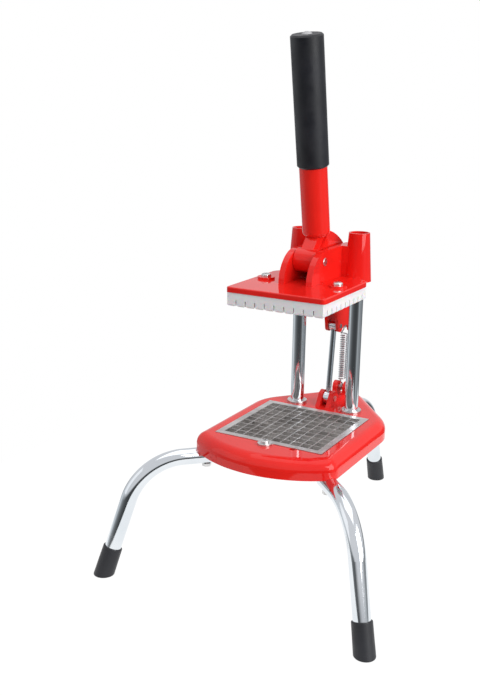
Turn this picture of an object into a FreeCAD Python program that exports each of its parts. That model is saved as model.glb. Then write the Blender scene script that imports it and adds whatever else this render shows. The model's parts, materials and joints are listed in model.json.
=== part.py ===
import FreeCAD, Part
import math
import os

# French fry cutter on three legs: a lever pushes a pegged block down two columns, through a grid.
# Millimetres, +Z up, +X to the user's right, the user stands at -Y.
# The model is drawn about the centre of the window, at floor level, and moved at the end so that
# its origin lies on the floor under the middle of its bounding box.

os.makedirs("parts", exist_ok=True)
Vec = FreeCAD.Vector
X_AXIS = Vec(1, 0, 0)
Z_AXIS = Vec(0, 0, 1)

# Clearances
fit_gap = 0.02            # a pin or bush pressed into its seat
running_gap = 0.06        # a shaft that turns or slides in its hole
seat_gap = 0.3            # a loose piece beside its seat
side_gap = 0.6            # a lever or link beside its cheek
over = 20.0               # how far a cutting tool runs past what it cuts
lap = 1.0                 # how far a solid runs into another that it is fused with
hole_end = 1.0            # room between a screw's end and the bottom of its hole

# Window and blade cassette
cell_pitch = 10.0
cells = 10
blade_thickness = 0.7
blade_height = 12.0
blade_tongue = 1.0        # how far a blade end reaches into the collar
flange_width = 6.5
flange_thickness = 2.0
flange_proud = 0.6        # flange top above the deck it lies in
blade_drop = 0.3          # blade edge below the flange top
collar_wall = 2.0
tongue_width = 12.0
tongue_reach = 2.5
tongue_thickness = 1.2
tongue_offset = 26.0

clip_screw_radius = 2.0
clip_radius = 7.0
clip_thickness = 1.5
clip_overlap = 3.0        # how far the clip reaches over the flange
clip_head_radius = 4.0
clip_head_height = 2.4
clip_screw_depth = 9.0

# Legs and boots: the height of the tubes sets the height of all that stands on them
leg_radius = 8.0
leg_wall = 1.2
leg_axis_height = 115.5
leg_bend_radius = 57.0
leg_tilt = 18.5           # lean of the lower leg from upright, degrees
leg_reach = 111.0         # from the tube's inner end to the foot, in plan
front_leg_inset = (15.5, 11.0)
front_leg_heading = -45.0
rear_leg_inset = 32.0
rear_leg_heading = 90.0
socket_cover = 10.5       # metal between a leg tube and the deck's underside
socket_half_width = 11.5
socket_inset = 2.0
boot_radius = 9.8
boot_top_radius = 9.4
boot_length = 30.0
boot_edge = 0.9
leg_end_above_floor = 4.0
leg_bolt_inset = 8.0
leg_bolt_radius = 2.5
leg_bolt_head_radius = 4.6
leg_bolt_head_height = 3.0
leg_bolt_cover = 3.0      # metal between the bolt's end and the deck

# Base casting
deck_thickness = 6.0
base_wall = 5.0
skirt_height = 18.5
base_half_width = 74.5
front_corner_y = -64.0
front_bulge = 29.0
haunch_y = 66.0
tail_corner_y = 156.0
corner_radius = 13.0
haunch_radius = 50.0
tail_radius_plan = 30.0
rim_radius = 11.0
notch_x = 28.0
notch_width = 5.0
notch_length = 4.5
notch_depth = 1.6

# Columns and their fasteners
column_radius = 7.0
column_x = 31.1
column_y = 70.0
column_above_plate = 35.0
column_seat = 15.0        # depth of the column's seat below the deck
foot_floor = 3.5
foot_boss_radius = 10.5
collar_radius = 10.4
collar_height = 3.0
collar_edge = 0.9
bolt_radius = 3.0
bolt_depth = 16.0
bolt_head_radius = 5.5
bolt_head_height = 4.0
top_washer_radius = 8.2
top_washer_thickness = 1.6
top_screw_radius = 2.5
top_screw_depth = 12.0
top_screw_head_radius = 4.6
top_screw_head_height = 3.4

# Pivots in the middle plane, as (y, height) above the plate or the deck, or as a reach from a pivot
lever_pivot_place = (20.6, 19.5)
tail_reach = (67.5, -78.5)
ear_reach = (28.4, -5.8)
link_pivot_place = (80.0, 7.0)
spring_foot_place = (115.0, 9.5)
stroke = 130.0            # travel of the head from its upper stop
peg_dip = 5.0             # how far the pegs enter the grid at the end of the stroke

# Base lug
lug_half_width = 8.0
lug_slot_half = 3.5
lug_front_radius = 8.0
lug_rear_radius = 6.5
lug_bridge_height = 5.0
lug_toe = 14.0            # how far the lug's foot reaches before the link's pivot

# Head casting
plate_thickness = 5.0
plate_half_width = 51.0
plate_front_y = -50.0
plate_back_y = 55.0
plate_front_radius = 4.0
plate_back_radius = 12.0
plate_edge_radius = 1.2
head_slot_start = 30.0
cheek_inner = 11.5
cheek_thickness = 6.0
cheek_radius = 30.0
cheek_centre_y = 22.6
cheek_back_y = 83.0
cheek_web_x = 25.0
cheek_web_y = 60.0
boss_bottom_radius = 13.7
boss_top_radius = 10.5
boss_above_plate = 43.0
bush_radius = 8.8
stop_gap = 0.3
screw_pad_x = 38.0
screw_pad_y = 6.5
screw_pad_radius = 8.5
screw_pad_height = 2.0

# Pusher
pusher_slab = 7.0
peg_length = 6.0
peg_width = 8.6
peg_chamfer = 1.2
pusher_screw_radius = 2.5
pusher_screw_head_radius = 4.8
pusher_screw_head_height = 3.0
pusher_screw_depth = 4.5

# Lever casting and grip
pivot_pin_radius = 4.0
pivot_pin_proud = 0.6
hub_radius = 11.5
hub_half_width = 10.9
neck_half_width = 6.5
arm_half_width = 8.6
bar_radius = 13.5
bar_end_reach = (16.2, 22.3)
bar_lean = 10.9           # forward lean of the bar from upright, degrees
bar_length = 68.0
bar_end_radius = 5.0
spigot_radius = 11.0
spigot_length = 115.0
arm_crown_reach = (69.4, 3.5)
arm_back_reach = (96.9, -50.5)
arm_shoulder_reach = (26.4, 26.5)
arm_inner_mid_reach = (43.4, -38.5)
arm_inner_top_reach = (4.6, -9.8)
neck_front_reach = (9.9, 25.5)
tail_radius = 6.5
tail_half_width = 7.4
tail_step_above_pin = 31.0
ear_radius = 5.2
tail_arch_rise = 5.0
tail_slot_half = 4.6
tail_slot_radius = 44.0
grip_radius = 15.2
grip_length = 120.0
grip_chamfer = 1.5
button_radius = 5.0
button_shank = 5.0
button_dome = 2.2

# Link, pins and spring
link_radius = 2.9
link_eye_half = 3.0
link_lower_eye_radius = 6.5
link_upper_eye_radius = 4.7
link_pin_radius = 3.0
tail_pin_radius = 2.5
pin_proud = 0.7           # how far a pin's end shows past its lug or fork
spacer_gap = 0.1
spring_pin_radius = 2.0
spring_wire = 1.4
spring_mean_radius = 3.5
spring_coils = 21
spring_loop_radius = 3.0
spring_shank = 8.5
spring_loop_start = 140.0
spring_loop_end = 405.0

# Recess of the cross-headed screws
recess_width = 0.9
recess_depth = 1.2


def offset(point, reach):
    return (point[0] + reach[0], point[1] + reach[1])


# Sizes that follow from the ones above
window_half = cell_pitch * cells / 2
flange_half = window_half + flange_width
clip_y = -(flange_half + clip_radius - clip_overlap)
collar_outer = window_half + collar_wall
deck_underside = leg_axis_height + leg_radius + socket_cover
deck_top = deck_underside + deck_thickness
rim_height = deck_top - skirt_height
column_foot = deck_top - column_seat
foot_boss_bottom = column_foot - foot_floor
leg_bolt_top = deck_underside - leg_bolt_cover
flange_top = deck_top + flange_proud
flange_bottom = flange_top - flange_thickness
blade_top = flange_top - blade_drop
blade_bottom = blade_top - blade_height
peg_bottom = deck_top + stroke - peg_dip
plate_bottom = peg_bottom + peg_length + pusher_slab
plate_top = plate_bottom + plate_thickness
cheek_outer = cheek_inner + cheek_thickness
cheek_top = plate_top + cheek_radius
boss_top = plate_top + boss_above_plate
column_top = plate_top + column_above_plate
pusher_half = window_half - (cell_pitch - peg_width) / 2

lever_pivot = offset((0, plate_top), lever_pivot_place)
tail_pivot = offset(lever_pivot, tail_reach)
spring_top = offset(tail_pivot, ear_reach)
link_pivot = offset((0, deck_top), link_pivot_place)
spring_foot = offset((0, deck_top), spring_foot_place)
bar_end = offset(lever_pivot, bar_end_reach)
arm_crown = offset(lever_pivot, arm_crown_reach)
arm_back = offset(lever_pivot, arm_back_reach)
arm_shoulder = offset(lever_pivot, arm_shoulder_reach)
arm_inner_mid = offset(lever_pivot, arm_inner_mid_reach)
arm_inner_top = offset(lever_pivot, arm_inner_top_reach)
neck_front = offset(lever_pivot, neck_front_reach)


def box(x0, x1, y0, y1, z0, z1):
    return Part.makeBox(x1 - x0, y1 - y0, z1 - z0, Vec(x0, y0, z0))


def upright(x, y, z0, z1, radius):
    return Part.makeCylinder(radius, z1 - z0, Vec(x, y, z0), Z_AXIS)


def across(point, x0, x1, radius):
    """A cylinder along X about a (y, z) point of the middle plane."""
    return Part.makeCylinder(radius, x1 - x0, Vec(x0, point[0], point[1]), X_AXIS)


def both_sides(shape):
    """The shape and its mirror image across the middle plane, as two solids."""
    return [shape, shape.mirror(Vec(0, 0, 0), X_AXIS)]


def group(solids):
    return Part.makeCompound(solids)


def line(a, b):
    return Part.LineSegment(a, b).toShape()


def arc(a, b, c):
    return Part.Arc(a, b, c).toShape()


def side_point(point, x=0.0):
    return Vec(x, point[0], point[1])


def side_slab(edges, half_width):
    """A closed outline in the middle plane, thickened to both sides."""
    face = Part.Face(Part.Wire(edges))
    solid = face.extrude(Vec(2 * half_width, 0, 0))
    solid.translate(Vec(-half_width, 0, 0))
    return solid


def edges_at_height(shape, z, tolerance=0.01):
    found = []
    for edge in shape.Edges:
        bounds = edge.BoundBox
        if abs(bounds.ZMin - z) < tolerance and abs(bounds.ZMax - z) < tolerance:
            found.append(edge)
    return found


def cross_recess(x, y, top, reach):
    """The cross-shaped recess in a screw head whose crown lies at the given height."""
    half = recess_width / 2
    first = box(x - reach, x + reach, y - half, y + half, top - recess_depth, top + over)
    return first.fuse(box(x - half, x + half, y - reach, y + reach, top - recess_depth, top + over))


def hexagon(x, y, z0, z1, radius):
    """A bolt's six-sided head, whose corners lie on the given radius."""
    turns = [math.radians(60 * i) for i in range(7)]
    corners = [Vec(x + radius * math.cos(a), y + radius * math.sin(a), z0) for a in turns]
    return Part.Face(Part.makePolygon(corners)).extrude(Vec(0, 0, z1 - z0))


def upright_edges(shape, places, z0, z1, tolerance=0.5):
    """The vertical edges of a shape that stand at the given (x, y) places."""
    found = []
    for edge in shape.Edges:
        bounds = edge.BoundBox
        tall = abs(bounds.ZMin - z0) < tolerance and abs(bounds.ZMax - z1) < tolerance
        thin = bounds.XLength < tolerance and bounds.YLength < tolerance
        if not (tall and thin):
            continue
        for x, y in places:
            if abs(bounds.Center.x - x) < tolerance and abs(bounds.Center.y - y) < tolerance:
                found.append(edge)
    return found


# Legs: a horizontal run out of the base, one bend and a straight lower leg
tilt = math.radians(leg_tilt)


def leg_profile():
    """Points of the leg's centre line, as (outward, up) from the foot on the floor."""
    centre_up = leg_axis_height - leg_bend_radius
    centre_out = (-leg_bend_radius - centre_up * math.sin(tilt)) / math.cos(tilt)
    middle = (math.pi / 2 + tilt) / 2

    def on_bend(angle):
        return (centre_out + leg_bend_radius * math.cos(angle),
                centre_up + leg_bend_radius * math.sin(angle))

    end = (-leg_end_above_floor * math.tan(tilt), leg_end_above_floor)
    start = (-leg_reach, leg_axis_height)
    return start, on_bend(math.pi / 2), on_bend(middle), on_bend(tilt), end


def place_leg_shape(shape, foot, heading):
    """Turn a shape drawn with outward along +X about the floor point of the foot, and set it there."""
    placed = shape.copy()
    placed.rotate(Vec(0, 0, 0), Z_AXIS, heading)
    placed.translate(Vec(foot[0], foot[1], 0))
    return placed


def leg_solid(radius):
    start, bend_start, bend_middle, bend_end, end = [Vec(p[0], 0, p[1]) for p in leg_profile()]
    path = Part.Wire([line(start, bend_start), arc(bend_start, bend_middle, bend_end), line(bend_end, end)])
    ring = Part.Wire(Part.makeCircle(radius, start, X_AXIS))
    return path.makePipeShell([ring], True, False)


def make_leg():
    return leg_solid(leg_radius).cut(leg_solid(leg_radius - leg_wall))


def make_boot():
    axis = Vec(-math.sin(tilt), 0, math.cos(tilt))
    below = boot_radius * math.tan(tilt) + 2.0
    slope = (boot_radius - boot_top_radius) / boot_length
    low = Vec(0, 0, 0) - axis * below
    shell = Part.makeCone(boot_radius + slope * below, boot_top_radius, boot_length + below, low, axis)
    shell = shell.cut(box(-over, over, -over, over, -over, 0))
    sole = edges_at_height(shell, 0.0)
    shell = shell.makeFillet(boot_edge, sole)
    rim = [e for e in shell.Edges if e.BoundBox.ZMin > boot_length / 2]
    shell = shell.makeFillet(boot_edge, rim)
    inner = axis * (leg_end_above_floor / math.cos(tilt))
    bore = Part.makeCylinder(leg_radius + fit_gap, boot_length, inner, axis)
    return shell.cut(bore)


front_turn = math.radians(front_leg_heading)
rear_turn = math.radians(rear_leg_heading)
front_foot = (base_half_width - front_leg_inset[0] + leg_reach * math.cos(front_turn),
              front_corner_y + front_leg_inset[1] + leg_reach * math.sin(front_turn))
rear_foot = (leg_reach * math.cos(rear_turn),
             tail_corner_y - rear_leg_inset + leg_reach * math.sin(rear_turn))
foot_places = {
    "leg_left": ((-front_foot[0], front_foot[1]), 180.0 - front_leg_heading),
    "leg_right": (front_foot, front_leg_heading),
    "leg_rear": (rear_foot, rear_leg_heading),
}
leg_bolt_out = -leg_reach + leg_bolt_inset


def make_leg_bolt():
    """A bolt from below, through the tube's inner end and up into the base's socket."""
    underside = leg_axis_height - leg_radius
    head = hexagon(leg_bolt_out, 0, underside - leg_bolt_head_height, underside, leg_bolt_head_radius)
    shank = upright(leg_bolt_out, 0, underside - lap, leg_bolt_top, leg_bolt_radius)
    return head.fuse(shank).removeSplitter()


def leg_bolt_hole():
    return upright(leg_bolt_out, 0, 0, leg_bolt_top, leg_bolt_radius + fit_gap)


# Base casting
def base_block(z0, z1):
    """The plan of the base, upright: curved front, straight sides, haunches, and a tail over the rear leg."""
    corner = Vec(base_half_width, front_corner_y, z0)
    haunch = Vec(base_half_width, haunch_y, z0)
    nose = Vec(0, front_corner_y - front_bulge, z0)
    tip = Vec(0, tail_corner_y, z0)
    corner_left = Vec(-corner.x, corner.y, z0)
    haunch_left = Vec(-haunch.x, haunch.y, z0)
    outline = Part.Wire([arc(corner_left, nose, corner), line(corner, haunch), line(haunch, tip),
                         line(tip, haunch_left), line(haunch_left, corner_left)])
    block = Part.Face(outline).extrude(Vec(0, 0, z1 - z0))
    for x, y, radius in ((base_half_width, front_corner_y, corner_radius),
                         (base_half_width, haunch_y, haunch_radius),
                         (0, tail_corner_y, tail_radius_plan)):
        block = block.makeFillet(radius, upright_edges(block, [(x, y), (-x, y)], z0, z1))
    return block


def base_cavity():
    """The space under the deck, one wall's thickness in from the plan."""
    top = deck_underside
    block = base_block(top, deck_top)
    plan = Part.Wire(Part.__sortEdges__(edges_at_height(block, top)))
    inner = plan.makeOffset2D(-base_wall)
    cavity = Part.Face(inner).extrude(Vec(0, 0, rim_height - top - lap))
    return cavity


def make_lug():
    """Twin lug on the deck: a front hump for the link pin and a rear hump for the spring pin."""
    parts = [
        across(link_pivot, -lug_half_width, lug_half_width, lug_front_radius),
        across(spring_foot, -lug_half_width, lug_half_width, lug_rear_radius),
    ]
    for pivot, radius in ((link_pivot, lug_front_radius), (spring_foot, lug_rear_radius)):
        parts.append(box(-lug_half_width, lug_half_width, pivot[0] - radius, pivot[0] + radius,
                         deck_underside, pivot[1]))
    parts.append(box(-lug_half_width, lug_half_width, link_pivot[0], spring_foot[0],
                     deck_underside, deck_top + lug_bridge_height))
    toe = (link_pivot[0] - lug_toe, deck_top)
    rise = link_pivot[1] - deck_top
    touch = math.atan2(-rise, -lug_toe) - math.acos(lug_front_radius / math.hypot(lug_toe, rise))
    brow = offset(link_pivot, (lug_front_radius * math.cos(touch), lug_front_radius * math.sin(touch)))
    corners = [toe, brow, link_pivot, (link_pivot[0], deck_underside), (toe[0], deck_underside), toe]
    parts.append(side_slab([line(side_point(a), side_point(b)) for a, b in zip(corners, corners[1:])],
                           lug_half_width))
    lug = parts[0].multiFuse(parts[1:])
    slot = box(-lug_slot_half, lug_slot_half, link_pivot[0] - lug_toe - over,
               spring_foot[0] + lug_rear_radius + over, deck_top, deck_top + over * 2)
    lug = lug.cut(slot)
    lug = lug.cut(across(link_pivot, -over, over, link_pin_radius + fit_gap))
    return lug.cut(across(spring_foot, -over, over, spring_pin_radius + fit_gap))


def make_base():
    solid_plan = base_block(rim_height, deck_top)
    outer = solid_plan.makeFillet(rim_radius, edges_at_height(solid_plan, deck_top))
    body = outer.cut(base_cavity())

    additions = [make_lug()]
    for side in (-1, 1):
        additions.append(upright(side * column_x, column_y, foot_boss_bottom, deck_top, foot_boss_radius))
    for foot, heading in foot_places.values():
        socket = box(-leg_reach - socket_inset, -leg_reach + 3 * over,
                     -socket_half_width, socket_half_width, rim_height, deck_underside + lap)
        additions.append(place_leg_shape(socket, foot, heading).common(outer))
    body = body.multiFuse(additions)

    window = collar_outer + seat_gap
    body = body.cut(box(-window, window, -window, window, rim_height - over, deck_top + over))
    recess = flange_half + seat_gap
    body = body.cut(box(-recess, recess, -recess, recess, flange_bottom, deck_top + over))
    body = body.cut(box(notch_x - notch_width / 2, notch_x + notch_width / 2, -flange_half - notch_length,
                        -flange_half, deck_top - notch_depth, deck_top + over))
    for side in (-1, 1):
        body = body.cut(upright(side * column_x, column_y, column_foot, deck_top + over,
                                column_radius + fit_gap))
        body = body.cut(upright(side * column_x, column_y, foot_boss_bottom - over, column_foot + lap,
                                bolt_radius + fit_gap))
    tube = leg_solid(leg_radius + fit_gap)
    trench = box(-leg_reach - over, 0, -leg_radius - fit_gap, leg_radius + fit_gap,
                 rim_height - over, leg_axis_height)
    end_room = Part.makeCylinder(leg_radius + fit_gap, over, Vec(-leg_reach - over, 0, leg_axis_height),
                                 X_AXIS)
    for foot, heading in foot_places.values():
        cutter = tube.multiFuse([trench, end_room, leg_bolt_hole()])
        body = body.cut(place_leg_shape(cutter, foot, heading))
    body = body.cut(across(link_pivot, -lug_slot_half, lug_slot_half, link_lower_eye_radius + side_gap))
    clip_hole = upright(0, clip_y, deck_underside - over, deck_top + over, clip_screw_radius + fit_gap)
    return body.cut(clip_hole).removeSplitter()


# Blade cassette, with the clip that holds its front edge

def blade_lines():
    return [(i - cells / 2) * cell_pitch for i in range(1, cells)]


def make_blade_frame():
    frame = box(-flange_half, flange_half, -flange_half, flange_half, flange_bottom, flange_top)
    frame = frame.fuse(box(-collar_outer, collar_outer, -collar_outer, collar_outer, blade_bottom,
                           flange_bottom))
    tongue_top = deck_underside - seat_gap
    tongues = []
    for side in (-1, 1):
        left = side * tongue_offset - tongue_width / 2
        tongues.append(box(left, left + tongue_width, window_half, collar_outer + tongue_reach,
                           tongue_top - tongue_thickness, tongue_top))
    frame = frame.multiFuse(tongues)
    frame = frame.cut(box(-window_half, window_half, -window_half, window_half, blade_bottom - over,
                          flange_top + over))
    reach = window_half + blade_tongue + fit_gap
    half = blade_thickness / 2 + fit_gap
    slots = []
    for at in blade_lines():
        slots.append(box(-reach, reach, at - half, at + half, blade_bottom - over, blade_top + over))
        slots.append(box(at - half, at + half, -reach, reach, blade_bottom - over, blade_top + over))
    return frame.cut(group(slots)).removeSplitter()


def make_blade(lengthwise):
    """One blade on the middle line, half-lapped: lengthwise ones are slotted from below."""
    reach = window_half + blade_tongue
    half = blade_thickness / 2
    blade = box(-half, half, -reach, reach, blade_bottom, blade_top)
    middle = (blade_bottom + blade_top) / 2
    lap = half + fit_gap * 2
    laps = []
    for at in blade_lines():
        if lengthwise:
            laps.append(box(-over, over, at - lap, at + lap, blade_bottom - over, middle + fit_gap))
        else:
            laps.append(box(-over, over, at - lap, at + lap, middle - fit_gap, blade_top + over))
    return blade.cut(group(laps))


def make_blades(lengthwise):
    pattern = make_blade(lengthwise)
    if not lengthwise:
        pattern.rotate(Vec(0, 0, 0), Z_AXIS, 90)
    blades = []
    for at in blade_lines():
        copy = pattern.copy()
        copy.translate(Vec(at, 0, 0) if lengthwise else Vec(0, at, 0))
        blades.append(copy)
    return group(blades)


def make_clip():
    """A thick washer with a step, one side on the deck and the other over the flange."""
    low = deck_top + fit_gap
    step = flange_top + fit_gap
    washer = upright(0, clip_y, low, step + clip_thickness, clip_radius)
    washer = washer.cut(box(-over, over, -flange_half - seat_gap, over, low - over, step))
    washer = washer.makeFillet(clip_thickness / 3, edges_at_height(washer, step + clip_thickness))
    return washer.cut(upright(0, clip_y, low - over, step + over, clip_screw_radius + fit_gap))


def make_clip_screw():
    seat = flange_top + fit_gap + clip_thickness
    head = upright(0, clip_y, seat, seat + clip_head_height, clip_head_radius)
    head = head.makeFillet(clip_head_height * 0.6, edges_at_height(head, seat + clip_head_height))
    head = head.fuse(upright(0, clip_y, seat - clip_screw_depth, seat, clip_screw_radius)).removeSplitter()
    return head.cut(cross_recess(0, clip_y, seat + clip_head_height, clip_head_radius * 0.55))


# Columns and their fasteners
def make_column(side):
    column = upright(side * column_x, column_y, column_foot, column_top, column_radius)
    column = column.cut(upright(side * column_x, column_y, column_foot, column_foot + bolt_depth,
                                bolt_radius + fit_gap))
    return column.cut(upright(side * column_x, column_y, column_top - top_screw_depth, column_top,
                              top_screw_radius + fit_gap))


def make_column_collar():
    """A bright collar on the deck, round the column's foot."""
    ring = upright(column_x, column_y, deck_top, deck_top + collar_height, collar_radius)
    ring = ring.makeFillet(collar_edge, edges_at_height(ring, deck_top + collar_height))
    return ring.cut(upright(column_x, column_y, deck_top - over, deck_top + over, column_radius + fit_gap))


def make_column_bolt():
    head = hexagon(column_x, column_y, foot_boss_bottom - bolt_head_height, foot_boss_bottom,
                   bolt_head_radius)
    shank = upright(column_x, column_y, foot_boss_bottom, column_foot + bolt_depth - hole_end, bolt_radius)
    return head.fuse(shank).removeSplitter()


def make_top_washer():
    washer = upright(column_x, column_y, column_top, column_top + top_washer_thickness, top_washer_radius)
    return washer.cut(upright(column_x, column_y, column_top, boss_top, top_screw_radius + fit_gap))


def make_top_screw():
    seat = column_top + top_washer_thickness
    head = upright(column_x, column_y, seat, seat + top_screw_head_height, top_screw_head_radius)
    head = head.makeFillet(top_screw_head_height / 2, edges_at_height(head, seat + top_screw_head_height))
    shank = upright(column_x, column_y, column_top - top_screw_depth + hole_end, seat, top_screw_radius)
    return head.fuse(shank).removeSplitter()


# Head casting, bushes, pusher and pivot pin
def make_plate():
    front = box(-plate_half_width, plate_half_width, plate_front_y, plate_back_y, plate_bottom, plate_top)
    x = plate_half_width
    front = front.makeFillet(plate_front_radius, upright_edges(
        front, [(x, plate_front_y), (-x, plate_front_y)], plate_bottom, plate_top))
    front = front.makeFillet(plate_back_radius, upright_edges(
        front, [(x, plate_back_y), (-x, plate_back_y)], plate_bottom, plate_top))
    return front.makeFillet(plate_edge_radius, edges_at_height(front, plate_top))


def make_cheek():
    """One cheek beside the lever: a quarter-round front, a flat top, and a web to the column's boss."""
    y = cheek_centre_y
    slant = cheek_radius * math.sqrt(0.5)
    start = Vec(cheek_inner, y - cheek_radius, plate_bottom)
    foot = Vec(cheek_inner, y - cheek_radius, plate_top)
    middle = Vec(cheek_inner, y - slant, plate_top + slant)
    crown = Vec(cheek_inner, y, cheek_top)
    back_top = Vec(cheek_inner, cheek_back_y, cheek_top)
    back_low = Vec(cheek_inner, cheek_back_y, plate_bottom)
    outline = Part.Wire([line(start, foot), arc(foot, middle, crown), line(crown, back_top),
                         line(back_top, back_low), line(back_low, start)])
    cheek = Part.Face(outline).extrude(Vec(cheek_thickness, 0, 0))
    web = box(cheek_inner, cheek_web_x, cheek_web_y, cheek_back_y, plate_bottom, cheek_top)
    return cheek.fuse(web)


def make_head():
    right = [make_cheek()]
    right.append(Part.makeCone(boss_bottom_radius, boss_top_radius, boss_top - plate_bottom,
                               Vec(column_x, column_y, plate_bottom), Z_AXIS))
    right.append(box(cheek_inner, plate_half_width - plate_back_radius, plate_back_y - over, column_y,
                     plate_bottom, plate_top))
    right.append(upright(screw_pad_x, screw_pad_y, plate_bottom, plate_top + screw_pad_height,
                         screw_pad_radius))
    halves = []
    for shape in right:
        halves += both_sides(shape)
    head = make_plate().multiFuse(halves)
    head = head.cut(box(-cheek_inner, cheek_inner, head_slot_start, column_y + over * 2,
                        plate_bottom - over, plate_top + lap))
    for side in (-1, 1):
        head = head.cut(upright(side * column_x, column_y, plate_bottom - over, boss_top + over,
                                bush_radius + fit_gap))
        head = head.cut(upright(side * screw_pad_x, screw_pad_y, plate_bottom - over, plate_top + over,
                                pusher_screw_radius + fit_gap))
    head = head.cut(across(lever_pivot, -over * 2, over * 2, pivot_pin_radius + fit_gap))
    return head.removeSplitter()


def make_bush(side):
    outer = upright(side * column_x, column_y, plate_bottom, column_top - stop_gap, bush_radius)
    return outer.cut(upright(side * column_x, column_y, plate_bottom, column_top,
                             column_radius + running_gap))


def make_pusher():
    slab_bottom = plate_bottom - pusher_slab
    slab = box(-pusher_half, pusher_half, -pusher_half, pusher_half, slab_bottom, plate_bottom)
    half = peg_width / 2
    peg = box(-half, half, -half, half, peg_bottom, slab_bottom)
    peg = peg.makeChamfer(peg_chamfer, edges_at_height(peg, peg_bottom))
    pegs = []
    for i in range(cells):
        for j in range(cells):
            copy = peg.copy()
            copy.translate(Vec((i + 0.5) * cell_pitch - window_half, (j + 0.5) * cell_pitch - window_half, 0))
            pegs.append(copy)
    block = slab.multiFuse(pegs)
    for side in (-1, 1):
        block = block.cut(upright(side * screw_pad_x, screw_pad_y, plate_bottom - pusher_screw_depth,
                                  plate_top, pusher_screw_radius + fit_gap))
    return block.removeSplitter()


def make_pusher_screw():
    seat = plate_top + screw_pad_height
    head = upright(screw_pad_x, screw_pad_y, seat, seat + pusher_screw_head_height, pusher_screw_head_radius)
    head = head.makeFillet(pusher_screw_head_height * 0.6,
                           edges_at_height(head, seat + pusher_screw_head_height))
    shank = upright(screw_pad_x, screw_pad_y, plate_bottom - pusher_screw_depth + hole_end, seat,
                    pusher_screw_radius)
    screw = head.fuse(shank).removeSplitter()
    return screw.cut(cross_recess(screw_pad_x, screw_pad_y, seat + pusher_screw_head_height,
                                  pusher_screw_head_radius * 0.55))


def make_pivot_pin():
    reach = cheek_outer + pivot_pin_proud
    pin = across(lever_pivot, -reach, reach, pivot_pin_radius)
    ends = [e for e in pin.Edges if abs(abs(e.BoundBox.Center.x) - reach) < 0.01]
    return pin.makeChamfer(pivot_pin_proud / 2, ends)


# Lever casting and grip
lean = math.radians(bar_lean)
bar_axis = Vec(0, -math.sin(lean), math.cos(lean))


def along_bar(distance):
    return Vec(0, bar_end[0], bar_end[1]) + bar_axis * distance


def make_lever():
    bar = Part.makeCylinder(bar_radius, bar_length, along_bar(0), bar_axis)
    low_rim = [e for e in bar.Edges if e.BoundBox.ZMax < bar_end[1] + bar_radius]
    bar = bar.makeFillet(bar_end_radius, low_rim)
    spigot = Part.makeCylinder(spigot_radius, spigot_length + lap, along_bar(bar_length - lap), bar_axis)
    hub = across(lever_pivot, -hub_half_width, hub_half_width, hub_radius)

    hub_front = (lever_pivot[0] - hub_radius * 0.96, lever_pivot[1] + hub_radius * 0.28)
    hub_back = (lever_pivot[0] + hub_radius * 0.7, lever_pivot[1] - hub_radius * 0.7)
    neck = side_slab([
        line(side_point(neck_front), side_point(hub_front)),
        line(side_point(hub_front), side_point(lever_pivot)),
        line(side_point(lever_pivot), side_point(hub_back)),
        line(side_point(hub_back), side_point(arm_shoulder)),
        line(side_point(arm_shoulder), side_point(neck_front)),
    ], neck_half_width)

    tail_y, tail_z = tail_pivot
    ear_y, ear_z = spring_top
    ear_back = (ear_y + ear_radius, ear_z)
    ear_front = (ear_y - ear_radius * 0.8, ear_z - ear_radius * 0.6)
    tail_back = (tail_y + tail_radius * 0.8, tail_z - tail_radius * 0.6)
    arch = ((ear_front[0] + tail_back[0]) / 2, (ear_front[1] + tail_back[1]) / 2 + tail_arch_rise)
    tail_front = (tail_y - tail_radius, tail_z)
    arm = side_slab([
        arc(side_point(arm_shoulder), side_point(arm_crown), side_point(arm_back)),
        line(side_point(arm_back), side_point(ear_back)),
        line(side_point(ear_back), side_point(spring_top)),
        line(side_point(spring_top), side_point(ear_front)),
        arc(side_point(ear_front), side_point(arch), side_point(tail_back)),
        line(side_point(tail_back), side_point(tail_pivot)),
        line(side_point(tail_pivot), side_point(tail_front)),
        arc(side_point(tail_front), side_point(arm_inner_mid), side_point(arm_inner_top)),
        line(side_point(arm_inner_top), side_point(lever_pivot)),
        line(side_point(lever_pivot), side_point(arm_shoulder)),
    ], arm_half_width)
    tail_round = across(tail_pivot, -arm_half_width, arm_half_width, tail_radius)
    ear_round = across(spring_top, -arm_half_width, arm_half_width, ear_radius)

    lever = bar.multiFuse([spigot, hub, neck, arm, tail_round, ear_round])
    lever = lever.cut(across(tail_pivot, -tail_slot_half, tail_slot_half, tail_slot_radius))
    beside_tail = box(tail_half_width, arm_half_width + over, tail_y - 2 * over, ear_y + 2 * over,
                      tail_z - 2 * over, tail_z + tail_step_above_pin)
    lever = lever.cut(group(both_sides(beside_tail)))
    lever = lever.cut(across(lever_pivot, -over, over, pivot_pin_radius + running_gap))
    lever = lever.cut(across(tail_pivot, -over, over, tail_pin_radius + fit_gap))
    lever = lever.cut(across(spring_top, -over, over, spring_pin_radius + fit_gap))
    return lever.removeSplitter()


def make_grip():
    grip = Part.makeCylinder(grip_radius, grip_length, along_bar(bar_length), bar_axis)
    ends = [e for e in grip.Edges if e.Length > grip_radius * 3 and len(e.Vertexes) == 1]
    grip = grip.makeChamfer(grip_chamfer, ends)
    bore = Part.makeCylinder(spigot_radius + fit_gap, spigot_length, along_bar(bar_length), bar_axis)
    hole = Part.makeCylinder(button_radius + fit_gap, grip_length, along_bar(bar_length), bar_axis)
    return grip.cut(bore.fuse(hole))


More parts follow.
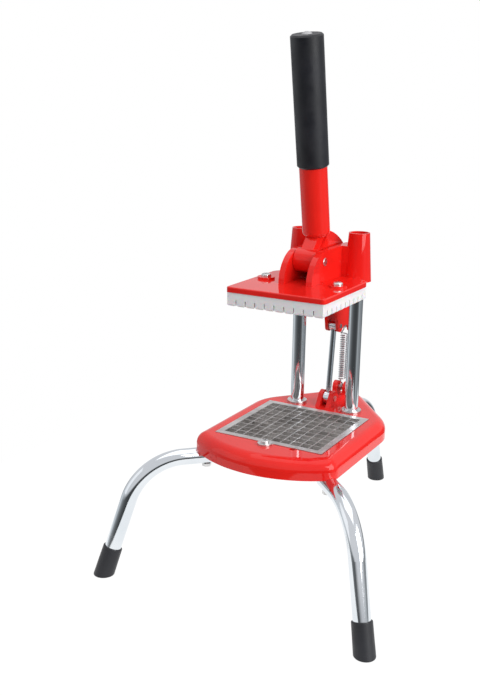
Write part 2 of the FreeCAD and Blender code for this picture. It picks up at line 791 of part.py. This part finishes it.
def make_button():
    base_at = bar_length + spigot_length
    shank = Part.makeCylinder(button_radius, button_shank, along_bar(base_at), bar_axis)
    sphere_radius = (button_radius ** 2 + button_dome ** 2) / (2 * button_dome)
    centre = along_bar(base_at + button_shank + button_dome - sphere_radius)
    ball = Part.makeSphere(sphere_radius, centre)
    above = Part.makeCylinder(button_radius, over, along_bar(base_at + button_shank), bar_axis)
    return shank.fuse(ball.common(above)).removeSplitter()


# Link, pins and return spring
link_run = Vec(0, tail_pivot[0] - link_pivot[0], tail_pivot[1] - link_pivot[1])


def make_link():
    rod = Part.makeCylinder(link_radius, link_run.Length, side_point(link_pivot), link_run)
    link = rod.multiFuse([
        across(link_pivot, -link_eye_half, link_eye_half, link_lower_eye_radius),
        across(tail_pivot, -link_eye_half, link_eye_half, link_upper_eye_radius),
    ])
    link = link.cut(across(link_pivot, -over, over, link_pin_radius + running_gap))
    return link.cut(across(tail_pivot, -over, over, tail_pin_radius + fit_gap)).removeSplitter()


spacer_outer = tail_slot_half - seat_gap


def make_spacers():
    ring = across(tail_pivot, link_eye_half + spacer_gap, spacer_outer, link_upper_eye_radius)
    ring = ring.cut(across(tail_pivot, 0, over, tail_pin_radius + fit_gap))
    return group(both_sides(ring))


def make_pin_ends(pivot, radius, proud):
    return group(both_sides(across(pivot, tail_slot_half, tail_half_width + proud, radius)))


def bend(start, direction, end):
    """One arc that leaves start along direction and reaches end."""
    span = end - start
    unit = Vec(span).normalize()
    side = direction - unit * direction.dot(unit)
    if side.Length < 1e-9:
        return line(start, end)
    half_turn = math.atan2(side.Length, direction.dot(unit)) / 2
    middle = start + span * 0.5 + side.normalize() * (span.Length / 2 * math.tan(half_turn))
    return arc(start, middle, end)


def biarc(p0, t0, p1, t1):
    """Two arcs that leave p0 along t0, meet smoothly and reach p1 along t1."""
    t0 = Vec(t0).normalize()
    t1 = Vec(t1).normalize()
    span = p1 - p0
    both = span.dot(t0 + t1)
    spread = 2 * (1 - t0.dot(t1))
    reach = (math.sqrt(both * both + spread * span.dot(span)) - both) / spread
    joint = (p0 + p1 + (t0 - t1) * reach) * 0.5
    unit = Vec(joint - p0).normalize()
    at_joint = unit * (2 * t0.dot(unit)) - t0
    return [bend(p0, t0, joint), bend(joint, at_joint, p1)]


def make_spring():
    """The return spring as one wire: a hook round the foot pin, the coil, a hook round the tail's pin."""
    length = (side_point(spring_top) - side_point(spring_foot)).Length
    coil_low = spring_shank + spring_wire / 2
    slope = (length - 2 * coil_low) / spring_coils / (2 * math.pi * spring_mean_radius)

    def on_loop(degrees_round):
        angle = math.radians(degrees_round)
        point = Vec(0, spring_loop_radius * math.cos(angle), spring_loop_radius * math.sin(angle))
        return point, Vec(0, -math.sin(angle), math.cos(angle))

    def on_coil(turns):
        angle = math.pi + 2 * math.pi * turns
        height = coil_low + (length - 2 * coil_low) * turns / spring_coils
        point = Vec(spring_mean_radius * math.cos(angle), spring_mean_radius * math.sin(angle), height)
        return point, Vec(-math.sin(angle), math.cos(angle), slope)

    def over_the_top(station):
        point, direction = station
        return Vec(point.x, -point.y, length - point.z), Vec(-direction.x, direction.y, direction.z)

    loop_angles = [spring_loop_start + (spring_loop_end - spring_loop_start) * i / 3 for i in range(4)]
    foot_loop = [on_loop(angle) for angle in loop_angles]
    stations = list(foot_loop)
    stations += [on_coil(i / 2) for i in range(2 * spring_coils + 1)]
    stations += [over_the_top(station) for station in reversed(foot_loop)]
    first, first_direction = stations[0]
    last, last_direction = stations[-1]
    edges = [line(first - first_direction * spring_wire, first)]
    for (p0, t0), (p1, t1) in zip(stations, stations[1:]):
        edges += biarc(p0, t0, p1, t1)
    edges.append(line(last, last + last_direction * spring_wire))
    path = Part.Wire(edges)
    start = first - first_direction * spring_wire
    ring = Part.Wire(Part.makeCircle(spring_wire / 2, start, first_direction))
    spring = path.makePipeShell([ring], True, False)

    points = []
    for edge in edges:
        points += edge.discretize(9)[:-1]
    skip = 12                  # neighbours along the wire, which are nearer than three wires
    count = len(points)
    least = min((points[i] - points[j]).Length for i in range(count) for j in range(i + skip, count))
    print("return_spring: least gap to itself %.2f mm over %d points" % (least - spring_wire, count))

    spring.rotate(Vec(0, 0, 0), X_AXIS, -math.degrees(math.atan2(spring_top[0] - spring_foot[0],
                                                                 spring_top[1] - spring_foot[1])))
    spring.translate(side_point(spring_foot))
    return spring


# Assembly
def with_bolt_hole(leg):
    return leg.cut(leg_bolt_hole())


leg = with_bolt_hole(make_leg())
boot = make_boot()
leg_bolt = make_leg_bolt()
nodes = {
    "base_casting": make_base(),
    "blade_frame": make_blade_frame(),
    "blades_lengthwise": make_blades(True),
    "blades_crosswise": make_blades(False),
    "cassette_clip": make_clip(),
    "cassette_screw": make_clip_screw(),
    "column_left": make_column(-1),
    "column_right": make_column(1),
    "column_collars": group(both_sides(make_column_collar())),
    "column_bolts": group(both_sides(make_column_bolt())),
    "column_top_washers": group(both_sides(make_top_washer())),
    "column_top_screws": group(both_sides(make_top_screw())),
    "leg_bolts": group([place_leg_shape(leg_bolt, foot, heading) for foot, heading in foot_places.values()]),
    "link_pin": across(link_pivot, -lug_half_width - pin_proud, lug_half_width + pin_proud, link_pin_radius),
    "spring_foot_pin": across(spring_foot, -lug_half_width - pin_proud, lug_half_width + pin_proud,
                              spring_pin_radius),
    "return_spring": make_spring(),
    "head_casting": make_head(),
    "bush_left": make_bush(-1),
    "bush_right": make_bush(1),
    "pusher": make_pusher(),
    "pusher_screws": group(both_sides(make_pusher_screw())),
    "pivot_pin": make_pivot_pin(),
    "lever": make_lever(),
    "grip": make_grip(),
    "grip_button": make_button(),
    "tail_pin_ends": make_pin_ends(tail_pivot, tail_pin_radius, pin_proud),
    "spring_pin_ends": make_pin_ends(spring_top, spring_pin_radius, pin_proud),
    "link": make_link(),
    "link_spacers": make_spacers(),
    "tail_pin_core": across(tail_pivot, -spacer_outer, spacer_outer, tail_pin_radius),
    "spring_pin_core": across(spring_top, -spacer_outer, spacer_outer, spring_pin_radius),
}
for name, (foot, heading) in foot_places.items():
    nodes[name] = place_leg_shape(leg, foot, heading)
    nodes[name.replace("leg", "boot")] = place_leg_shape(boot, foot, heading)

# The boots reach furthest out on every side, and stand on the floor
whole = FreeCAD.BoundBox()
for name, shape in nodes.items():
    if name.startswith("boot"):
        whole.add(shape.optimalBoundingBox(True, False))
whole.add(nodes["grip"].optimalBoundingBox(True, False))
to_origin = Vec(0, -(whole.YMin + whole.YMax) / 2, 0)
for name, shape in sorted(nodes.items()):
    shape.translate(to_origin)
    shape.exportStep("parts/%s.step" % name)
    if not shape.isValid():
        print("not valid:", name)
    print("%-20s solids %2d volume %10.1f" % (name, len(shape.Solids), shape.Volume))
print("moved by y %.4f, size %.2f x %.2f x %.2f" % (
    to_origin.y, whole.XLength, whole.YLength, whole.ZLength))
print("lever pivot y %.4f, tail y %.4f, link pivot y %.4f" % (
    lever_pivot[0] + to_origin.y, tail_pivot[0] + to_origin.y, link_pivot[0] + to_origin.y))
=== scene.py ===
import json
import math

import bmesh
import bpy
from mathutils import Matrix, Vector


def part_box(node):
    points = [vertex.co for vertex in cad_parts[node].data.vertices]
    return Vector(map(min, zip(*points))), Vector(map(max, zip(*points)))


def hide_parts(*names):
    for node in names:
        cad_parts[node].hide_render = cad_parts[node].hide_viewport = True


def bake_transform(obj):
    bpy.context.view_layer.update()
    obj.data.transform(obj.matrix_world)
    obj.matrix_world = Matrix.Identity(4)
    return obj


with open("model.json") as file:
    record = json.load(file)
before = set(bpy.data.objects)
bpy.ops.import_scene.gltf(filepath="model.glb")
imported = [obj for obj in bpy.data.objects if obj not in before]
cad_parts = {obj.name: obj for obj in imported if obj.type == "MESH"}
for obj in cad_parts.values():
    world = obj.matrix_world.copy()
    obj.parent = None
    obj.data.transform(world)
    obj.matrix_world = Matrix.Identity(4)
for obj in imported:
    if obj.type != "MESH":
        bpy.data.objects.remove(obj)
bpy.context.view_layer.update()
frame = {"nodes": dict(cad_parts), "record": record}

scene = bpy.context.scene
nodes = frame["nodes"]
MM = 0.001


def middle_of(name):
    """The middle of a CAD node's box, in metres."""
    low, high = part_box(name)
    return [(a + b) / 2 for a, b in zip(low, high)]


SHIFT = middle_of("pusher")[1]      # where the middle of the blade grid lies along Y


# Camera: the photograph's viewing angle
AZIMUTH, ELEVATION, ROLL = 29.45, 15.35, 0.9      # degrees
CAMERA_PLACE = (0.396, -0.812 + SHIFT, 0.4663)
FOCAL_LENGTH = 966.0                # in pixels of the photograph
PHOTO_WIDTH = 480.0                 # pixels
SENSOR_WIDTH = 36.0                 # millimetres
NEAREST_SEEN = 10 * MM


def aim(azimuth, elevation, roll):
    """The camera's turn: round the object, above it, and about its own axis."""
    a, e, r = (math.radians(v) for v in (azimuth, elevation, roll))
    forward = Vector((-math.sin(a) * math.cos(e), math.cos(a) * math.cos(e), -math.sin(e)))
    right = Vector((math.cos(a), math.sin(a), 0))
    up = right.cross(forward)
    right_rolled = right * math.cos(r) + up * math.sin(r)
    up_rolled = up * math.cos(r) - right * math.sin(r)
    return Matrix((right_rolled, up_rolled, -forward)).transposed()


def place_camera():
    data = bpy.data.cameras.new("camera")
    data.sensor_fit = "HORIZONTAL"
    data.sensor_width = SENSOR_WIDTH
    data.lens = FOCAL_LENGTH / PHOTO_WIDTH * SENSOR_WIDTH
    data.clip_start = NEAREST_SEEN
    data.dof.use_dof = False
    camera = bpy.data.objects.new("camera", data)
    scene.collection.objects.link(camera)
    camera.matrix_world = Matrix.Translation(CAMERA_PLACE) @ aim(AZIMUTH, ELEVATION, ROLL).to_4x4()
    scene.camera = camera


place_camera()
scene.view_settings.view_transform = "Standard"


# Finishes: each is a shader fed by noise, which mostly lies between these two values
NOISE_LOW, NOISE_HIGH = 0.3, 0.7


class Shader:
    """A material with one Principled shader, and short names for the nodes that feed it."""

    def __init__(self, name, **sockets):
        self.material = bpy.data.materials.new(name)
        self.material.use_nodes = True
        self.tree = self.material.node_tree
        self.surface = self.tree.nodes["Principled BSDF"]
        self.fill(self.surface, **sockets)
        self.place = self.tree.nodes.new("ShaderNodeTexCoord").outputs["Object"]

    def fill(self, node, **sockets):
        """Links a socket where it gets another node's output, and otherwise sets it."""
        for key, value in sockets.items():
            socket = node.inputs[key.replace("_", " ").title().replace("Ior", "IOR")]
            if isinstance(value, bpy.types.NodeSocket):
                self.tree.links.new(value, socket)
            else:
                socket.default_value = value

    def node(self, kind, **sockets):
        made = self.tree.nodes.new(kind)
        self.fill(made, **sockets)
        return made

    def stretched(self, scale):
        return self.node("ShaderNodeMapping", vector=self.place, scale=scale).outputs["Vector"]

    def noise(self, scale, detail, vector=None):
        made = self.node("ShaderNodeTexNoise", vector=vector or self.place, scale=scale, detail=detail)
        return made.outputs["Fac"]

    def colour(self, pattern, dark, pale):
        """The base colour goes from dark to pale with the pattern."""
        made = self.node("ShaderNodeValToRGB", fac=pattern)
        stops = ((NOISE_LOW, dark), (NOISE_HIGH, pale))
        for element, (at, shade) in zip(made.color_ramp.elements, stops):
            element.position = at
            element.color = (*shade, 1)
        self.fill(self.surface, base_color=made.outputs["Color"])

    def gloss(self, pattern, smoothest, roughest):
        """The roughness goes from smoothest to roughest with the pattern."""
        made = self.node("ShaderNodeMapRange", value=pattern, from_min=NOISE_LOW, from_max=NOISE_HIGH,
                         to_min=smoothest, to_max=roughest)
        self.fill(self.surface, roughness=made.outputs["Result"])

    def bump(self, pattern, strength, distance):
        """Adds small relief to what the surface has already."""
        made = self.node("ShaderNodeBump", height=pattern, strength=strength, distance=distance)
        before = self.surface.inputs["Normal"]
        if before.is_linked:
            self.fill(made, normal=before.links[0].from_socket)
        self.fill(self.surface, normal=made.outputs["Normal"])


def red_enamel():
    """Thick glossy paint on cast metal, a little uneven in colour and level."""
    s = Shader("red_enamel", roughness=0.22, specular_ior_level=0.0,
               coat_weight=1.0, coat_roughness=0.04, coat_ior=1.42)
    s.colour(s.noise(14, 3), dark=(0.74, 0.012, 0.010), pale=(0.86, 0.022, 0.014))
    s.gloss(s.noise(60, 5), smoothest=0.16, roughest=0.30)
    s.bump(s.noise(90, 2), strength=0.10, distance=0.6 * MM)
    s.bump(s.noise(700, 2), strength=0.05, distance=0.1 * MM)
    return s.material


def chrome_plate():
    """Polished chrome with faint wiping marks along the tubes."""
    s = Shader("chrome_plate", metallic=1.0, roughness=0.06)
    s.colour(s.noise(25, 4), dark=(0.72, 0.77, 0.81), pale=(0.84, 0.87, 0.90))
    s.gloss(s.noise(120, 6, vector=s.stretched((1, 1, 0.1))), smoothest=0.03, roughest=0.12)
    s.bump(s.noise(40, 2), strength=0.06, distance=0.4 * MM)
    return s.material


def stainless_grid():
    """Brushed stainless steel, its grain across the machine."""
    s = Shader("stainless_grid", metallic=1.0, roughness=0.35)
    grain = s.noise(300, 3, vector=s.stretched((0.08, 1, 1)))
    s.colour(s.noise(60, 5), dark=(0.52, 0.50, 0.49), pale=(0.80, 0.78, 0.77))
    s.gloss(grain, smoothest=0.25, roughest=0.45)
    s.bump(grain, strength=0.15, distance=0.1 * MM)
    return s.material


def bright_zinc():
    """Zinc-plated screws, washers and pins."""
    s = Shader("bright_zinc", metallic=1.0, roughness=0.25)
    s.colour(s.noise(180, 5), dark=(0.58, 0.58, 0.58), pale=(0.82, 0.81, 0.80))
    s.gloss(s.noise(400, 4), smoothest=0.15, roughest=0.38)
    s.bump(s.noise(500, 3), strength=0.15, distance=0.1 * MM)
    return s.material


def spring_wire():
    """Drawn steel wire, darker than the plated fasteners."""
    s = Shader("spring_wire", metallic=1.0, roughness=0.22)
    s.colour(s.noise(200, 4), dark=(0.34, 0.34, 0.36), pale=(0.58, 0.59, 0.61))
    s.gloss(s.noise(600, 4), smoothest=0.15, roughest=0.32)
    return s.material


def black_rubber():
    """Matt black rubber of the grip and the boots, with a fine grain."""
    s = Shader("black_rubber", roughness=0.45, specular_ior_level=0.5)
    s.colour(s.noise(30, 5), dark=(0.006, 0.007, 0.010), pale=(0.012, 0.013, 0.018))
    s.gloss(s.noise(90, 6), smoothest=0.36, roughest=0.55)
    s.bump(s.noise(1500, 3), strength=0.20, distance=0.1 * MM)
    return s.material


def white_nylon():
    """Moulded white nylon, which lets a little light in."""
    s = Shader("white_nylon", roughness=0.38, subsurface_weight=0.25, subsurface_scale=4 * MM)
    s.colour(s.noise(20, 3), dark=(0.80, 0.79, 0.80), pale=(0.88, 0.87, 0.87))
    s.gloss(s.noise(150, 4), smoothest=0.30, roughest=0.46)
    s.bump(s.noise(300, 2), strength=0.06, distance=0.2 * MM)
    return s.material


def bush_plastic():
    """Off-white plastic of the guide bushes."""
    s = Shader("bush_plastic", roughness=0.4)
    s.colour(s.noise(80, 3), dark=(0.55, 0.54, 0.50), pale=(0.66, 0.65, 0.62))
    s.bump(s.noise(400, 2), strength=0.05, distance=0.1 * MM)
    return s.material


def grey_cap():
    """Grey plastic of the button in the grip's end."""
    s = Shader("grey_cap", roughness=0.42)
    s.colour(s.noise(80, 3), dark=(0.36, 0.36, 0.37), pale=(0.46, 0.46, 0.47))
    s.bump(s.noise(900, 3), strength=0.12, distance=0.1 * MM)
    return s.material


finishes = {make.__name__: make() for make in (
    red_enamel, chrome_plate, stainless_grid, bright_zinc, spring_wire, black_rubber, white_nylon,
    bush_plastic, grey_cap)}
for part in frame["record"]["subparts"]:
    mesh = nodes[part["node"]].data
    mesh.materials.clear()
    mesh.materials.append(finishes[part["material_slot"]])


# Return spring: the wound wire is drawn once between its two pins, where they stand. Lengths are in
# millimetres.
SPRING_WIRE = 1.4
WIRE_SIDES = 12
COIL_RADIUS = 3.5                   # to the middle of the wire, as the hook's
COILS = 21
POINTS_PER_COIL = 24
HOOK_RADIUS = 3.0
HOOK_START, HOOK_END = 140.0, 405.0      # degrees round the pin
HOOK_STEPS = 20
SHANK = 8.5                         # from a pin's middle to the first coil
BRIDGE_STEPS = 12                   # the bend that joins hook and coil
HOOK_PULL, COIL_PULL = 4.0, 3.0     # how far the bend keeps the way of each


def wire_tree():
    """Geometry nodes that draw a round wire along the object's curve."""
    tree = bpy.data.node_groups.new("wound_wire", "GeometryNodeTree")
    sockets = {}
    for label, way, kind in (("Path", "INPUT", "NodeSocketGeometry"),
                             ("Wire Radius", "INPUT", "NodeSocketFloat"),
                             ("Sides", "INPUT", "NodeSocketInt"),
                             ("Finish", "INPUT", "NodeSocketMaterial"),
                             ("Wire", "OUTPUT", "NodeSocketGeometry")):
        sockets[label] = tree.interface.new_socket(label, in_out=way, socket_type=kind).identifier
    start = tree.nodes.new("NodeGroupInput")
    profile = tree.nodes.new("GeometryNodeCurvePrimitiveCircle")
    sweep = tree.nodes.new("GeometryNodeCurveToMesh")
    smooth = tree.nodes.new("GeometryNodeSetShadeSmooth")
    realize = tree.nodes.new("GeometryNodeRealizeInstances")
    paint = tree.nodes.new("GeometryNodeSetMaterial")
    end = tree.nodes.new("NodeGroupOutput")
    sweep.inputs["Fill Caps"].default_value = True
    for source, target in ((start.outputs["Sides"], profile.inputs["Resolution"]),
                           (start.outputs["Wire Radius"], profile.inputs["Radius"]),
                           (start.outputs["Path"], sweep.inputs["Curve"]),
                           (profile.outputs["Curve"], sweep.inputs["Profile Curve"]),
                           (sweep.outputs["Mesh"], smooth.inputs["Geometry"]),
                           (smooth.outputs["Geometry"], realize.inputs["Geometry"]),
                           (realize.outputs["Geometry"], paint.inputs["Geometry"]),
                           (start.outputs["Finish"], paint.inputs["Material"]),
                           (paint.outputs["Geometry"], end.inputs["Wire"])):
        tree.links.new(source, target)
    return tree, sockets


def wire_along(name, path, radius, finish):
    """A round wire along a list of points, closed at its ends, as a plain mesh."""
    curve = bpy.data.curves.new(name, "CURVE")
    curve.dimensions = "3D"
    spline = curve.splines.new("POLY")
    spline.points.add(len(path) - 1)
    for point, at in zip(spline.points, path):
        point.co = (*at, 1)
    holder = bpy.data.objects.new(name + "_path", curve)
    scene.collection.objects.link(holder)
    tree, sockets = wire_tree()
    modifier = holder.modifiers.new("wire", "NODES")
    modifier.node_group = tree
    modifier[sockets["Wire Radius"]] = radius
    modifier[sockets["Sides"]] = WIRE_SIDES
    modifier[sockets["Finish"]] = finish
    mesh = bpy.data.meshes.new_from_object(holder.evaluated_get(bpy.context.evaluated_depsgraph_get()))
    bpy.data.objects.remove(holder)
    mesh.name = name
    piece = bpy.data.objects.new(name, mesh)
    scene.collection.objects.link(piece)
    return piece


def pin_middle(name):
    """A spring pin's middle on X = 0, to a tenth of a millimetre, because its faceted box is a hair off."""
    back, height = middle_of(name)[1:]
    return Vector((0, round((back - SHIFT) / MM, 1) * MM + SHIFT, round(height / MM, 1) * MM))


def hook():
    """The open hook round the foot pin, with a short straight tip."""
    points = []
    for i in range(HOOK_STEPS + 1):
        angle = math.radians(HOOK_START + (HOOK_END - HOOK_START) * i / HOOK_STEPS)
        points.append(Vector((0, HOOK_RADIUS * math.cos(angle), HOOK_RADIUS * math.sin(angle))))
    tip_way = (points[0] - points[1]).normalized()
    return [points[0] + tip_way * SPRING_WIRE] + points


def coil(length):
    """The turns between the two shanks of a spring of this length between its pins."""
    low = SHANK + SPRING_WIRE / 2
    steps = COILS * POINTS_PER_COIL
    points = []
    for i in range(steps + 1):
        angle = math.pi + 2 * math.pi * i / POINTS_PER_COIL
        height = low + (length - 2 * low) * i / steps
        points.append(Vector((COIL_RADIUS * math.cos(angle), COIL_RADIUS * math.sin(angle), height)))
    return points


def bridge(before, after):
    """A smooth bend from the end of one row of points to the start of the next."""
    leave = (before[-1] - before[-2]).normalized()
    arrive = (after[1] - after[0]).normalized()
    a, b = before[-1], after[0]
    c, d = a + leave * HOOK_PULL, b - arrive * COIL_PULL
    points = []
    for i in range(1, BRIDGE_STEPS):
        t = i / BRIDGE_STEPS
        u = 1 - t
        points.append(a * u ** 3 + c * 3 * t * u ** 2 + d * 3 * t * t * u + b * t ** 3)
    return points


def spring_path(foot, top):
    """Both hooks and the coil between them, set between the two pins."""
    length = (top - foot).length / MM
    foot_hook, turns = hook(), coil(length)
    foot_end = foot_hook + bridge(foot_hook, turns)
    top_end = [Vector((p.x, -p.y, length - p.z)) for p in reversed(foot_end)]
    lean = Vector((0, 0, 1)).rotation_difference((top - foot).normalized())
    return [foot + (lean @ (p * MM)) for p in foot_end + turns + top_end]


spring_foot = pin_middle("spring_foot_pin")
spring_top = pin_middle("spring_pin_core")
spring = wire_along("return_spring_coil", spring_path(spring_foot, spring_top), SPRING_WIRE / 2 * MM,
                    finishes["spring_wire"])
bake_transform(spring)
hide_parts("return_spring")


# Studio: white surroundings, a pale floor, soft lights
WHITE = (1, 1, 1, 1)
ROOM_STRENGTH = 0.9
CEILING = (0.78, 0.78, 0.80, 1)
WALL_TOP, CEILING_START = -0.02, 0.10      # heights in a direction of length 1, with a fade between them
WALL_TINT = (0.95, 0.99, 1.02)

# Brightness of the walls round the object, by turns from -X through -Y (0.25), +X (0.5) and +Y (0.75)
WALLS = [(0.00, 0.80), (0.05, 0.75), (0.10, 0.36), (0.16, 0.18), (0.22, 0.10), (0.28, 0.07), (0.38, 0.07),
         (0.43, 0.16), (0.48, 0.50), (0.54, 0.30), (0.60, 0.36), (0.67, 0.12), (0.715, 0.12), (0.75, 0.80),
         (0.80, 0.95), (0.90, 0.95), (0.935, 0.20), (0.96, 0.60), (1.00, 0.80)]


def studio_world():
    """The camera sees plain white, and the object a dim room with pale stretches, which shape its gloss."""
    world = bpy.data.worlds.new("studio")
    scene.world = world
    world.use_nodes = True
    tree = world.node_tree
    tree.nodes.clear()

    def add(kind, **settings):
        made = tree.nodes.new(kind)
        for key, value in settings.items():
            setattr(made, key, value)
        return made

    direction = add("ShaderNodeTexCoord")
    split = add("ShaderNodeSeparateXYZ")
    tree.links.new(direction.outputs["Generated"], split.inputs[0])
    around = add("ShaderNodeMath", operation="ARCTAN2")
    tree.links.new(split.outputs["Y"], around.inputs[0])
    tree.links.new(split.outputs["X"], around.inputs[1])
    turned = add("ShaderNodeMath", operation="MULTIPLY_ADD")
    tree.links.new(around.outputs[0], turned.inputs[0])
    turned.inputs[1].default_value = 1 / (2 * math.pi)
    turned.inputs[2].default_value = 0.5

    walls = add("ShaderNodeValToRGB")
    tree.links.new(turned.outputs[0], walls.inputs["Fac"])
    elements = walls.color_ramp.elements
    while len(elements) < len(WALLS):
        elements.new(0.5)
    for element, (at, brightness) in zip(elements, WALLS):
        element.position = at
        element.color = (*(brightness * share for share in WALL_TINT), 1)

    height = add("ShaderNodeMapRange")
    tree.links.new(split.outputs["Z"], height.inputs["Value"])
    height.inputs["From Min"].default_value = WALL_TOP
    height.inputs["From Max"].default_value = CEILING_START
    room = add("ShaderNodeMix", data_type="RGBA")
    room_a, room_b, room_colour = room.inputs[6], room.inputs[7], room.outputs[2]
    tree.links.new(height.outputs["Result"], room.inputs["Factor"])
    tree.links.new(walls.outputs["Color"], room_a)
    room_b.default_value = CEILING

    lit = add("ShaderNodeBackground")
    tree.links.new(room_colour, lit.inputs["Color"])
    lit.inputs["Strength"].default_value = ROOM_STRENGTH
    seen = add("ShaderNodeBackground")
    seen.inputs["Color"].default_value = WHITE
    ray = add("ShaderNodeLightPath")
    choose = add("ShaderNodeMixShader")
    tree.links.new(ray.outputs["Is Camera Ray"], choose.inputs["Fac"])
    tree.links.new(lit.outputs[0], choose.inputs[1])
    tree.links.new(seen.outputs[0], choose.inputs[2])
    tree.links.new(choose.outputs[0], add("ShaderNodeOutputWorld").inputs["Surface"])


FLOOR_HALF = 0.42            # a small white table, so that upright faces reflect the dim room beyond it
FLOOR_DROP = 0.2 * MM        # keeps it just under the soles
FLOOR_SQUARES = 8
FLOOR_GREY = (0.62, 0.62, 0.62, 1)
FLOOR_GLOW = 1.10
GLOW_SHARE = 0.88            # the rest is the plain grey, which holds the object's shadow


def floor_material():
    """A grey that holds the shadow, mixed with white for what the camera and the object's gloss see."""
    material = bpy.data.materials.new("floor")
    material.use_nodes = True
    tree = material.node_tree
    tree.nodes.clear()
    diffuse = tree.nodes.new("ShaderNodeBsdfDiffuse")
    diffuse.inputs["Color"].default_value = FLOOR_GREY
    glow = tree.nodes.new("ShaderNodeEmission")
    glow.inputs["Color"].default_value = WHITE
    glow.inputs["Strength"].default_value = FLOOR_GLOW
    ray = tree.nodes.new("ShaderNodeLightPath")
    mirrored = tree.nodes.new("ShaderNodeMath")
    mirrored.operation = "MULTIPLY"
    mirrored.inputs[1].default_value = GLOW_SHARE
    tree.links.new(ray.outputs["Is Glossy Ray"], mirrored.inputs[0])
    share = tree.nodes.new("ShaderNodeMath")
    share.operation = "MULTIPLY_ADD"
    share.inputs[1].default_value = GLOW_SHARE
    tree.links.new(ray.outputs["Is Camera Ray"], share.inputs[0])
    tree.links.new(mirrored.outputs[0], share.inputs[2])
    blend = tree.nodes.new("ShaderNodeMixShader")
    tree.links.new(share.outputs[0], blend.inputs["Fac"])
    tree.links.new(diffuse.outputs[0], blend.inputs[1])
    tree.links.new(glow.outputs[0], blend.inputs[2])
    out = tree.nodes.new("ShaderNodeOutputMaterial")
    tree.links.new(blend.outputs[0], out.inputs["Surface"])
    return material


def make_floor():
    build = bmesh.new()
    bmesh.ops.create_grid(build, x_segments=FLOOR_SQUARES, y_segments=FLOOR_SQUARES, size=FLOOR_HALF)
    mesh = bpy.data.meshes.new("floor")
    build.to_mesh(mesh)
    build.free()
    floor = bpy.data.objects.new("floor", mesh)
    scene.collection.objects.link(floor)
    floor.location.z = -FLOOR_DROP
    mesh.materials.append(floor_material())


def area_light(name, place, target, side, power):
    data = bpy.data.lights.new(name, "AREA")
    data.shape = "RECTANGLE"
    data.size = data.size_y = side
    data.energy = power
    light = bpy.data.objects.new(name, data)
    light.location = place
    light.rotation_euler = (Vector(target) - Vector(place)).to_track_quat("-Z", "Y").to_euler()
    scene.collection.objects.link(light)


studio_world()
make_floor()
area_light("key", place=(1.36, -0.36, 0.8), target=(0, 0, 0.22), side=1.2, power=18)
area_light("top", place=(0.0, 0.1, 1.6), target=(0, 0, 0.2), side=1.5, power=5)
area_light("fill", place=(-1.2, -0.9, 0.7), target=(0, 0, 0.22), side=1.0, power=1)
